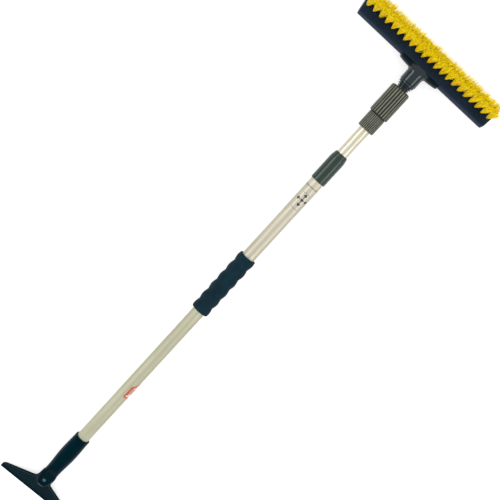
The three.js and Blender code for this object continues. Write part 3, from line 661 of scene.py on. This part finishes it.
def wrapped(outline, radius, thick):
    """A flat outline of (station, arc) points in millimetres, laid on the tube as thin film."""
    outline = np.array(outline, float)
    centre = outline.mean(0)
    rings = [centre + (outline - centre) * share for share in (1.0, 0.66, 0.33, 0.002)]
    count = len(outline)
    layer = count * len(rings)
    faces = []
    for i in range(count):
        j = (i + 1) % count
        for k in range(len(rings) - 1):
            a, b = k * count, (k + 1) * count
            faces.append((a + i, b + i, b + j, a + j))
            faces.append((layer + a + j, layer + b + j, layer + b + i, layer + a + i))
        faces.append((i, j, layer + j, layer + i))
        faces.append((b + j, b + i, layer + b + i, layer + b + j))
    return laid_on_tube(rings, radius, thick), np.array(faces)


def rounded_patch(half_length, half_arc, corner, shear, centre):
    """A rounded rectangle outline, sheared along the tube, with extra points on long sides."""
    box = [(-half_length, -half_arc), (half_length, -half_arc), (half_length, half_arc),
           (-half_length, half_arc)]
    curve = np.array(softened(box, corner, steps=5))
    longest = max(half_length, half_arc) / 10
    dense = []
    for a, b in zip(curve, np.roll(curve, -1, axis=0)):
        pieces = max(1, int(np.linalg.norm(b - a) / longest))
        dense += [a + (b - a) * k / pieces for k in range(pieces)]
    dense = np.array(dense)
    dense[:, 0] += shear * dense[:, 1]
    return dense + np.array(centre)


def strip(one_edge, other_edge, radius, thick, closed=True):
    """A strip between two lines with the same number of points, laid on the tube. It is a loop, or
    else it has two square ends."""
    count = len(one_edge)
    top, top2, low, low2 = (k * count for k in range(4))
    faces = []
    for i in range(count if closed else count - 1):
        j = (i + 1) % count
        faces.append((top + i, top2 + i, top2 + j, top + j))
        faces.append((low + j, low2 + j, low2 + i, low + i))
        faces.append((top + j, low + j, low + i, top + i))
        faces.append((top2 + i, low2 + i, low2 + j, top2 + j))
    if not closed:
        last = count - 1
        faces.append((top, low, low2, top2))
        faces.append((top + last, top2 + last, low2 + last, low + last))
    return laid_on_tube((one_edge, other_edge), radius, thick), np.array(faces)


def build_maker_label():
    """A plain slanted label: silver film, a red border and three plain red bars."""
    start, end, _ = span("maker_label")
    tube = span("lower_tube")[2]

    def trapezoid(inset):
        """The label's outline, drawn in by inset: its far end slants, its near end is square."""
        top, bottom = -1.6 - inset, -18.6 + inset
        near, short, long = start + 3.2 + inset, start + 29 - 1.4 * inset, end + 5.5 - 1.8 * inset
        corners = [(near, bottom), (long, bottom), (short, top), (near, top)]
        outline = np.array(softened(corners, max(0.4, 2 - 0.5 * inset), steps=5))
        dense = []
        for a, b in zip(outline, np.roll(outline, -1, axis=0)):
            dense += [a + (b - a) * k / 8 for k in range(8)]
        return np.array(dense)

    new_object("label_backing", *wrapped(trapezoid(0), tube, 0.10), "handle", SILVER_FILM, "red_film",
               ["maker_label"])
    prints = [strip(trapezoid(0.2), trapezoid(3.5), tube, INK_THICK)]
    for row, reach in enumerate((8.0, 6.2, 7.4)):
        offset = -6.2 - 3.6 * row
        outline = rounded_patch(reach, 0.9, 0.5, -0.3, (start + 18.5 + row, offset))
        prints.append(wrapped(outline, tube, INK_THICK))
    new_object("label_red_print", *joined(prints), "handle", RED_INK, "red_film")


def build_pictogram():
    """Clear film with a ring line, two bowed lines, and four arrowheads on stems round a dot."""
    start, end, _ = span("pictogram_label")
    tube = span("upper_tube")[2]
    new_object("pictogram_film", *ring(start, end, tube + FILM_THICK, tube + 0.02, 0.03, 160), "handle",
               CLEAR_FILM, "clear_film", ["pictogram_label"])
    ink = tube + FILM_THICK
    prints = [ring(end - 3.2, end - 2.3, ink + 0.10, ink, 0.01, 160)]
    for at, bow in ((start + 10.5, -1.6), (end - 15.5, 1.6)):
        arc = np.linspace(-BOWED_HALF_ARC, BOWED_HALF_ARC, 13)
        bowed = at - bow * (arc / BOWED_HALF_ARC) ** 2
        edges = np.stack([bowed, arc], -1), np.stack([bowed + 0.5, arc], -1)
        prints.append(strip(*edges, ink, 0.06, closed=False))
    middle = np.array([(start + end) / 2 + 0.4, -0.07 * tube])
    dot = [(2.5 * math.cos(a), 2.5 * math.sin(a)) for a in np.linspace(0, 2 * math.pi, 20)[:-1]]
    prints.append(wrapped(np.array(dot) + middle, ink, 0.10))
    for direction in range(4):
        a = direction * math.pi / 2
        forward, side = np.array([math.cos(a), math.sin(a)]), np.array([-math.sin(a), math.cos(a)])
        reach = 8.4 if direction % 2 else 9.3
        head = [forward * (reach + 3.0), forward * (reach - 0.8) + side * 3.4,
                forward * (reach - 2.8), forward * (reach - 0.8) - side * 3.4]
        head = softened([tuple(p) for p in head], 0.4, steps=3)
        prints.append(wrapped(np.array(head) + middle, ink, 0.10))
        stem = [forward * 3.0 + side * 0.6, forward * 6.4 + side * 0.6,
                forward * 6.4 - side * 0.6, forward * 3.0 - side * 0.6]
        prints.append(wrapped(np.array(stem) + middle, ink, 0.10))
    new_object("pictogram_ink", *joined(prints), "handle", DARK_INK, "clear_film")


# ------------------------------------------------------------------ ferrule, nut and stem


FERRULE_SHOULDER, FERRULE_NOSE, FERRULE_THROAT = 897.5, 12.3, 9.25
FERRULE_RIBS, NUT_RIBS = 30, 22
NUT_BORE, NUT_MOUTH = 12.7, 9.3
NUT_TAPER_START, NUT_TAPER_END = 932.0, 947.0
STEM_SHANK, STEM_GROOVE = 8.9, 8.1
GROOVE_START, GROOVE_END = 932.9, 945.1
FLANGE_START, CUP_FACE = 955.0, 965.2
STEM_RINGS, FIRST_RING = 3, 11.0
SPIGOT, STEM_BORE = 9.6, 5.6
GROOVE_SHARE, GROOVE_STEEPNESS = 0.58, 1.6


def ribs(count, depth, first, last):
    """A change of radius that cuts rounded grooves between outline points first and last."""

    def change(angle, index):
        wave = 0.5 + 0.5 * np.cos(count * angle)
        cut = (wave - (1 - GROOVE_SHARE)) * GROOVE_STEEPNESS / GROOVE_SHARE
        groove = np.clip(cut, 0, 1) ** 1.1
        inside = (index >= first) & (index <= last)
        return -depth * groove[:, None] * inside[None, :]

    return change


def build_ferrule():
    start, nose, crest = span("tube_ferrule")
    _, tube_end, tube = span("inner_tube")
    end = FERRULE_SHOULDER
    outline = [
        (start + 0.2, tube + 2.3), (start, crest - 1.2), (start + 0.6, crest - 0.4),
        (start + 1.6, crest),
        (start + 4, crest), (start + 9, crest), (start + 15, crest), (start + 21, crest),
        (end - 2.2, crest), (end - 1.0, crest - 0.2), (end, crest - 1.0),
        (end, FERRULE_NOSE), (nose - 1, FERRULE_NOSE), (nose, 11.5), (nose, FERRULE_THROAT),
        (tube_end + 0.5, FERRULE_THROAT), (tube_end + 0.5, tube + GAP), (start + 0.2, tube + GAP),
    ]
    new_object("ferrule_ribbed", *turned(outline, FERRULE_RIBS * 12, ribs(FERRULE_RIBS, 1.0, 3, 9)),
               "inner_pole", FERRULE_DARK, "ribbed_plastic", ["tube_ferrule"], sharp=30)


def build_nut():
    start, end, crest = span("lock_nut")
    round_over = 3.4
    top = [(crest - round_over * (1 - math.cos(a)), end - round_over * (1 - math.sin(a)))
           for a in np.linspace(0, math.pi / 2, 9)]
    sides = np.linspace(start + 2.4, end - round_over - 0.2, 14)
    outline = [(start, NUT_BORE + 0.5), (start, crest - 1.6), (start + 0.5, crest - 0.6),
               (start + 1.4, crest)]
    outline += [(s, crest) for s in sides]
    last_rib = len(outline) + 5
    outline += [(s, r) for r, s in top]
    outline += [(end, crest - 6.5), (end - 0.6, crest - 7.0), (end - 0.6, NUT_MOUTH),
                (NUT_TAPER_END, NUT_MOUTH + 0.6), (NUT_TAPER_START, NUT_BORE), (start, NUT_BORE)]
    new_object("nut_ribbed", *turned(outline, NUT_RIBS * 14, ribs(NUT_RIBS, 1.7, 3, last_rib)),
               "lock_nut", NUT_DARK, "ribbed_plastic", ["lock_nut"], sharp=30)


def build_stem():
    start, end, widest = span("swivel_stem")
    outline = [(start, STEM_BORE + 0.3), (start, STEM_GROOVE), (start + 0.8, STEM_SHANK),
               (GROOVE_START, STEM_SHANK), (GROOVE_START, STEM_GROOVE), (GROOVE_END, STEM_GROOVE),
               (GROOVE_END, STEM_SHANK), (FLANGE_START, STEM_SHANK)]
    pitch = (CUP_FACE - FLANGE_START) / STEM_RINGS
    for i in range(STEM_RINGS):
        at = FLANGE_START + i * pitch
        radius = FIRST_RING + (widest - FIRST_RING) * i / (STEM_RINGS - 1)
        outline += [(at, radius - 1.0), (at + 0.5, radius - 0.2), (at + 1.1, radius),
                    (at + pitch * 0.5, radius - 0.3), (at + pitch * 0.66, radius - 2.0),
                    (at + pitch * 0.9, radius - 2.0)]
    outline = outline[:-2] + [(CUP_FACE, widest), (CUP_FACE, SPIGOT), (end - 1, SPIGOT), (end, 8.8)]
    outline += [(end, 0.01), (CUP_FACE, 0.01), (CUP_FACE, STEM_BORE), (start, STEM_BORE)]
    new_object("stem_ringed", *turned(softened(outline, 0.2, steps=3), 128), "brush_head",
               STEM_BLACK, "head_plastic", ["swivel_stem"], sharp=45)


# ------------------------------------------------------------------ brush head

LEAN = math.radians(14)
FACE_STATION, FACE_HEIGHT, FACE_HALF = 1014.5, 10.0, 19.0
BULGE, SHOULDER, DEPTH = 21.0, 8.0, 26.5
END_SLANT = math.tan(math.radians(8))
PITCH, ROW_OFFSET = 13.05, 4.3
NEAR_TUFTS, FAR_TUFTS = 21, 20
SADDLE_WALL, LIP_DEPTH = 5.4, 1.0
CUP_START, CUP_END, CUP_RADIUS = 965.6, 996.5, 15.1
CUP_BORE, CUP_FLOOR = 9.9, 982.3
FOOT_STATION, FOOT_HALF = FACE_STATION - 5, 34
STEM_SCREW_STATION, SADDLE_SCREW_Y = 975.8, 25
_, block_end, block_half = span("brush_block")


def to_face(s, z):
    """p forward across the block's face and q out along the bristles."""
    ds, dz = s - FACE_STATION, z - FACE_HEIGHT
    return ds * math.cos(LEAN) - dz * math.sin(LEAN), ds * math.sin(LEAN) + dz * math.cos(LEAN)


def from_face(p, y, q):
    return np.stack(np.broadcast_arrays(
        FACE_STATION + p * math.cos(LEAN) + q * math.sin(LEAN), y,
        FACE_HEIGHT - p * math.sin(LEAN) + q * math.cos(LEAN)), axis=-1)


def section_outline():
    back = [(BULGE * math.cos(a), -SHOULDER - (DEPTH - SHOULDER) * math.sin(a))
            for a in np.linspace(0, math.pi, 41)]
    return back + [(-FACE_HALF, -1.2), (-FACE_HALF + 1.2, 0), (FACE_HALF - 1.2, 0), (FACE_HALF, -1.2)]


SECTION = section_outline()


def block_field(s, y, z):
    p, q = to_face(s, z)
    section = outline_distance(SECTION, p, q)
    half = block_half + (s - block_end) * END_SLANT
    body = larger(section, (np.abs(y) - half) * 0.99, 1.4)
    for side, count in ((-1, NEAR_TUFTS), (1, FAR_TUFTS)):
        shift = 0.0 if count % 2 else PITCH / 2
        nearest = np.mod(y - shift + PITCH / 2, PITCH) - PITCH / 2
        radius = np.hypot(p - side * ROW_OFFSET, nearest)
        hole = larger(radius - 1.5 - 0.5 * np.clip(q + 0.8, 0, 1), -6 - q)
        hole = larger(hole, np.abs(y) - count * PITCH / 2)
        body = larger(body, -hole, 0.3)
    return body


def saddle_field(s, y, z):
    p, q = to_face(s, z)
    section = outline_distance(SECTION, p, q)
    wall = SADDLE_WALL - 2.2 * np.clip((np.abs(y) - 20) / 19, 0, 1) ** 1.6
    shell = larger(larger(section - wall, 0.35 - section), np.abs(y) - 39.0 - 0.04 * (s - 985), 1.8)
    shell = larger(shell, q + LIP_DEPTH, 1.2)
    shell = larger(shell, (p - 14) * 0.8 - (q + 20) * 0.6, 0.9)
    ridge = larger(np.abs(section - wall + 0.4) - 1.1, np.abs(q + LIP_DEPTH + 2.4) - 1.3)
    shell = smaller(shell, larger(larger(ridge, np.abs(y) - 37.8, 0.5), p), 0.8)
    across = np.sqrt(y * y + z * z)
    cup = larger(across - CUP_RADIUS, CUP_START - s, 1.6)
    cup = larger(cup, s - CUP_END, 1.0)
    body = smaller(shell, larger(cup, 0.35 - section), 5.0)
    foot = larger(larger(np.abs(s - FOOT_STATION) - 10, np.abs(y) - FOOT_HALF, 2.0), z - FLOOR - 9)
    body = smaller(body, larger(foot, 0.35 - section), 1.6)
    body = larger(body, 0.3 - section)
    body = larger(body, -larger(across - CUP_BORE, s - CUP_FLOOR), 0.2)
    screw_well = larger(np.hypot(s - STEM_SCREW_STATION, y) - 3.5, z + 13.2)
    body = larger(body, -screw_well, 0.3)
    for side in (-1, 1):
        radius = np.hypot(s - FOOT_STATION, y - side * SADDLE_SCREW_Y)
        well = larger(radius - 3.9, z - FLOOR - 2.5)
        body = larger(body, -np.minimum(well, radius - 1.9), 0.3)
    return larger(body, FLOOR - z)


def build_block():
    voxel = 0.8
    low, high = (988, -block_half - 2, -20), (block_end + 2, block_half + 2, 18)
    new_object("block_shell", *surface_of(block_field, low, high, voxel), "brush_head", BLOCK_NAVY,
               "block_plastic", ["brush_block"], sharp=45)


def build_saddle():
    voxel = 0.6
    low, high = (961, -46.2, FLOOR - 2), (1036, 46.2, 21)
    new_object("saddle_cup", *surface_of(saddle_field, low, high, voxel), "brush_head", HEAD_BLACK,
               "head_plastic", ["head_saddle"], sharp=45)


# ------------------------------------------------------------------ bristles

STRANDS, STRAND_SIDES, STRAND_STEPS = 120, 3, 5
NEAR_ROOT, FAR_ROOT, STRAND_RADIUS = 0.9, 2.0, 0.27
BRISTLE_LENGTH, TIP_REACH = 38.5, 2.4
# Painted highlights: the pale root colour and the lighter tip colour stand in for light caught at the
# strands' ends.
ROOT_HIGHLIGHT_COLOUR = np.array([0.95, 0.88, 0.12])
LOW_COLOUR = np.array([1.0, 0.77, 0.002])
TIP_HIGHLIGHT_COLOUR = np.array([1.0, 0.88, 0.002])
AMBER = np.array([1.0, 0.50, 0.001])


def strand_paths(side, y_centre):
    """Centre lines of one tuft's strands, in face coordinates, as (strands, steps, 3)."""
    root = NEAR_ROOT if side < 0 else FAR_ROOT
    radius = root * np.sqrt(rng.uniform(0, 1, STRANDS))
    turn = rng.uniform(0, 2 * math.pi, STRANDS)
    p0, y0 = radius * np.cos(turn), radius * np.sin(turn)
    spread_p = p0 / root * 4.2 + rng.normal(0, 1.2, STRANDS)
    spread_y = y0 / root * 6.6 + rng.normal(0, 1.1, STRANDS)
    stray = rng.uniform(0, 1, STRANDS) < 0.06
    spread_p += stray * rng.normal(0, 2.0, STRANDS)
    spread_y += stray * rng.normal(0, 3.2, STRANDS)
    length = BRISTLE_LENGTH - 0.035 * (p0 ** 2 + y0 ** 2) + rng.normal(0, 0.8, STRANDS)
    length -= stray * np.abs(rng.normal(0, 2.5, STRANDS))
    bend_p, bend_y = rng.normal(0, 0.7, (2, STRANDS))
    t = np.linspace(0, 1, STRAND_STEPS + 1)[None, :]
    ease = t ** 1.2
    spread_p += TIP_REACH + side
    hump = 4 * t * (1 - t)
    p = side * ROW_OFFSET + p0[:, None] + spread_p[:, None] * ease + bend_p[:, None] * hump
    y = y_centre + y0[:, None] + spread_y[:, None] * ease + bend_y[:, None] * hump
    q = -3.0 + (length[:, None] + 3.0) * t
    return np.stack([p, y, q], axis=-1)


def build_row(name, node, side, count):
    points, faces, colours, made = [], [], [], 0
    angle = np.arange(STRAND_SIDES) / STRAND_SIDES * 2 * math.pi
    per_strand = STRAND_SIDES * (STRAND_STEPS + 1)
    for i in range(count):
        paths = strand_paths(side, (i - (count - 1) / 2) * PITCH)
        turn = rng.uniform(0, 2 * math.pi, (STRANDS, 1, 1))
        taper = np.ones(STRAND_STEPS + 1)
        taper[-1] = 0.55
        ring_p = STRAND_RADIUS * np.cos(angle + turn) * taper[None, :, None]
        ring_y = STRAND_RADIUS * np.sin(angle + turn) * taper[None, :, None]
        p = paths[:, :, None, 0] + ring_p
        y = paths[:, :, None, 1] + ring_y
        q = np.repeat(paths[:, :, None, 2], STRAND_SIDES, axis=2)
        points.append(from_face(p, y, q).reshape(-1, 3))
        share = np.linspace(0, 1, STRAND_STEPS + 1)
        # Each strand gets a pale painted highlight at the root and a lighter painted highlight toward
        # the tip, over its deeper yellow middle.
        root = np.clip(1 - share / 0.16, 0, 1)[None, :, None, None]
        tip = np.clip((share - 0.55) / 0.45, 0, 1)[None, :, None, None]
        tone = LOW_COLOUR * (1 - tip) + TIP_HIGHLIGHT_COLOUR * tip
        tone = tone * (1 - root) + ROOT_HIGHLIGHT_COLOUR * root
        mix = np.clip(rng.normal(0.12, 0.16, (STRANDS, 1, 1, 1)), 0, 0.6)
        tone = (tone * (1 - mix) + AMBER * mix) * rng.normal(1, 0.06, (STRANDS, 1, 1, 1))
        every_point = (STRANDS, STRAND_STEPS + 1, STRAND_SIDES, 3)
        colours.append(np.broadcast_to(np.clip(tone, 0, 1), every_point).reshape(-1, 3))
        for k in range(STRANDS):
            base = made + k * per_strand
            for step in range(STRAND_STEPS):
                a, b = base + step * STRAND_SIDES, base + (step + 1) * STRAND_SIDES
                for c in range(STRAND_SIDES):
                    d = (c + 1) % STRAND_SIDES
                    faces.append((a + c, a + d, b + d))
                    faces.append((a + c, b + d, b + c))
            top = base + STRAND_STEPS * STRAND_SIDES
            faces.append((top, top + 1, top + 2))
            faces.append((base + 2, base + 1, base))
        made += STRANDS * per_strand
    row = new_object(name, np.concatenate(points), faces, "brush_head", BRISTLE, "bristle", [node],
                     sharp=0)
    layer = row.data.color_attributes.new("strand_colour", "FLOAT_COLOR", "POINT")
    rgba = np.concatenate([np.concatenate(colours), np.ones((made, 1))], axis=1)
    layer.data.foreach_set("color", rgba.astype(np.float32).ravel())


# ------------------------------------------------------------------ pieces kept from the frame

KEPT = {
    NYLON: ["tube_plug", "lock_shoe", "lock_spindle", "collet"],
    STEEL: ["spindle_pin", "retainer_screw", "ferrule_pin", "stem_screw", "saddle_screw_left",
            "saddle_screw_right"],
}


def finish_kept_nodes():
    for material, nodes in KEPT.items():
        for node in nodes:
            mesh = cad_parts[node].data
            mesh.materials.clear()
            mesh.materials.append(material)


# ------------------------------------------------------------------ floor, light and camera

CAMERA_STATION = 595.1            # station on the axis that the picture's centre looks at
CAMERA_DEPTH = 1450.0
CAMERA_SIDE = 5.7                 # the axis passes a little to the right of the picture's centre
TOWARD_CAMERA = (0.159, 0.12)     # x and y parts of the direction to the camera
TOOL_ANGLE = math.radians(47.56)  # slope of the tool in the picture
LENS = 62.64


def build_camera():
    back = Vector((*TOWARD_CAMERA, math.sqrt(1 - sum(c * c for c in TOWARD_CAMERA))))
    along = (Vector((1, 0, 0)) - back * back.x).normalized()
    beside = back.cross(along)
    right = math.cos(TOOL_ANGLE) * along - math.sin(TOOL_ANGLE) * beside
    up = math.sin(TOOL_ANGLE) * along + math.cos(TOOL_ANGLE) * beside
    target = Vector(ORIGIN) + Vector((CAMERA_STATION * MM, 0, 0))
    data = bpy.data.cameras.new("camera")
    data.lens = LENS
    data.sensor_width = 36
    camera = bpy.data.objects.new("camera", data)
    bpy.context.scene.collection.objects.link(camera)
    place = Matrix((right, up, back)).transposed().to_4x4()
    place.translation = target + back * CAMERA_DEPTH * MM + beside * CAMERA_SIDE * MM
    camera.matrix_world = place
    bpy.context.scene.camera = camera


def build_stage():
    data = bpy.data.meshes.new("floor")
    reach = 60.0
    corners = [(-reach, -reach, 0), (reach, -reach, 0), (reach, reach, 0), (-reach, reach, 0)]
    data.from_pydata(corners, [], [(0, 1, 2, 3)])
    n = Nodes("pale_floor")
    n.set(Base_Color=n.ramp(n.noise(3, detail=2), [(0.3, 0.50), (0.7, 0.52)]),
          Roughness=0.9, Emission_Color=(1, 1, 1), Emission_Strength=0.62)
    data.materials.append(n.material)
    floor = bpy.data.objects.new("floor", data)
    floor.location.z = -0.0002
    bpy.context.scene.collection.objects.link(floor)


def area_light(name, location, size, power):
    """A rectangular light that faces the origin."""
    data = bpy.data.lights.new(name, "AREA")
    data.shape = "RECTANGLE"
    data.size, data.size_y = size
    data.energy = power
    light = bpy.data.objects.new(name, data)
    light.location = location
    light.rotation_mode = "QUATERNION"
    light.rotation_quaternion = (Vector((0, 0, 0)) - Vector(location)).to_track_quat("-Z", "Y")
    bpy.context.scene.collection.objects.link(light)


def build_light():
    world = bpy.data.worlds.new("studio")
    world.use_nodes = True
    tree = world.node_tree
    tree.nodes["Background"].inputs["Color"].default_value = (1, 1, 1, 1)
    direction = tree.nodes.new("ShaderNodeTexCoord").outputs["Generated"]
    axes = tree.nodes.new("ShaderNodeSeparateXYZ")
    rise = tree.nodes.new("ShaderNodeMapRange")
    for key, number in (("From Min", 0.0), ("From Max", 0.8), ("To Min", 0.6), ("To Max", 1.05)):
        rise.inputs[key].default_value = number
    tree.links.new(direction, axes.inputs[0])
    tree.links.new(axes.outputs["Z"], rise.inputs["Value"])
    tree.links.new(rise.outputs["Result"], tree.nodes["Background"].inputs["Strength"])
    bpy.context.scene.world = world
    area_light("key_left", (0.0, 2.0, 1.7), (2.6, 0.7), 27)
    area_light("key_right", (0.1, -2.0, 1.7), (2.6, 0.7), 23)
    bpy.context.scene.view_settings.view_transform = "Standard"
    bpy.context.scene.view_settings.look = "None"


# ------------------------------------------------------------------ putting it together

build_camera()
build_stage()
build_light()
build_scraper()
build_rivet()
build_tubes()
build_maker_label()
build_grip()
build_pictogram()
build_sleeve()
build_ferrule()
build_nut()
build_stem()
build_saddle()
build_block()
build_row("tufts_near", "bristle_row_near", -1, NEAR_TUFTS)
build_row("tufts_far", "bristle_row_far", 1, FAR_TUFTS)
finish_kept_nodes()
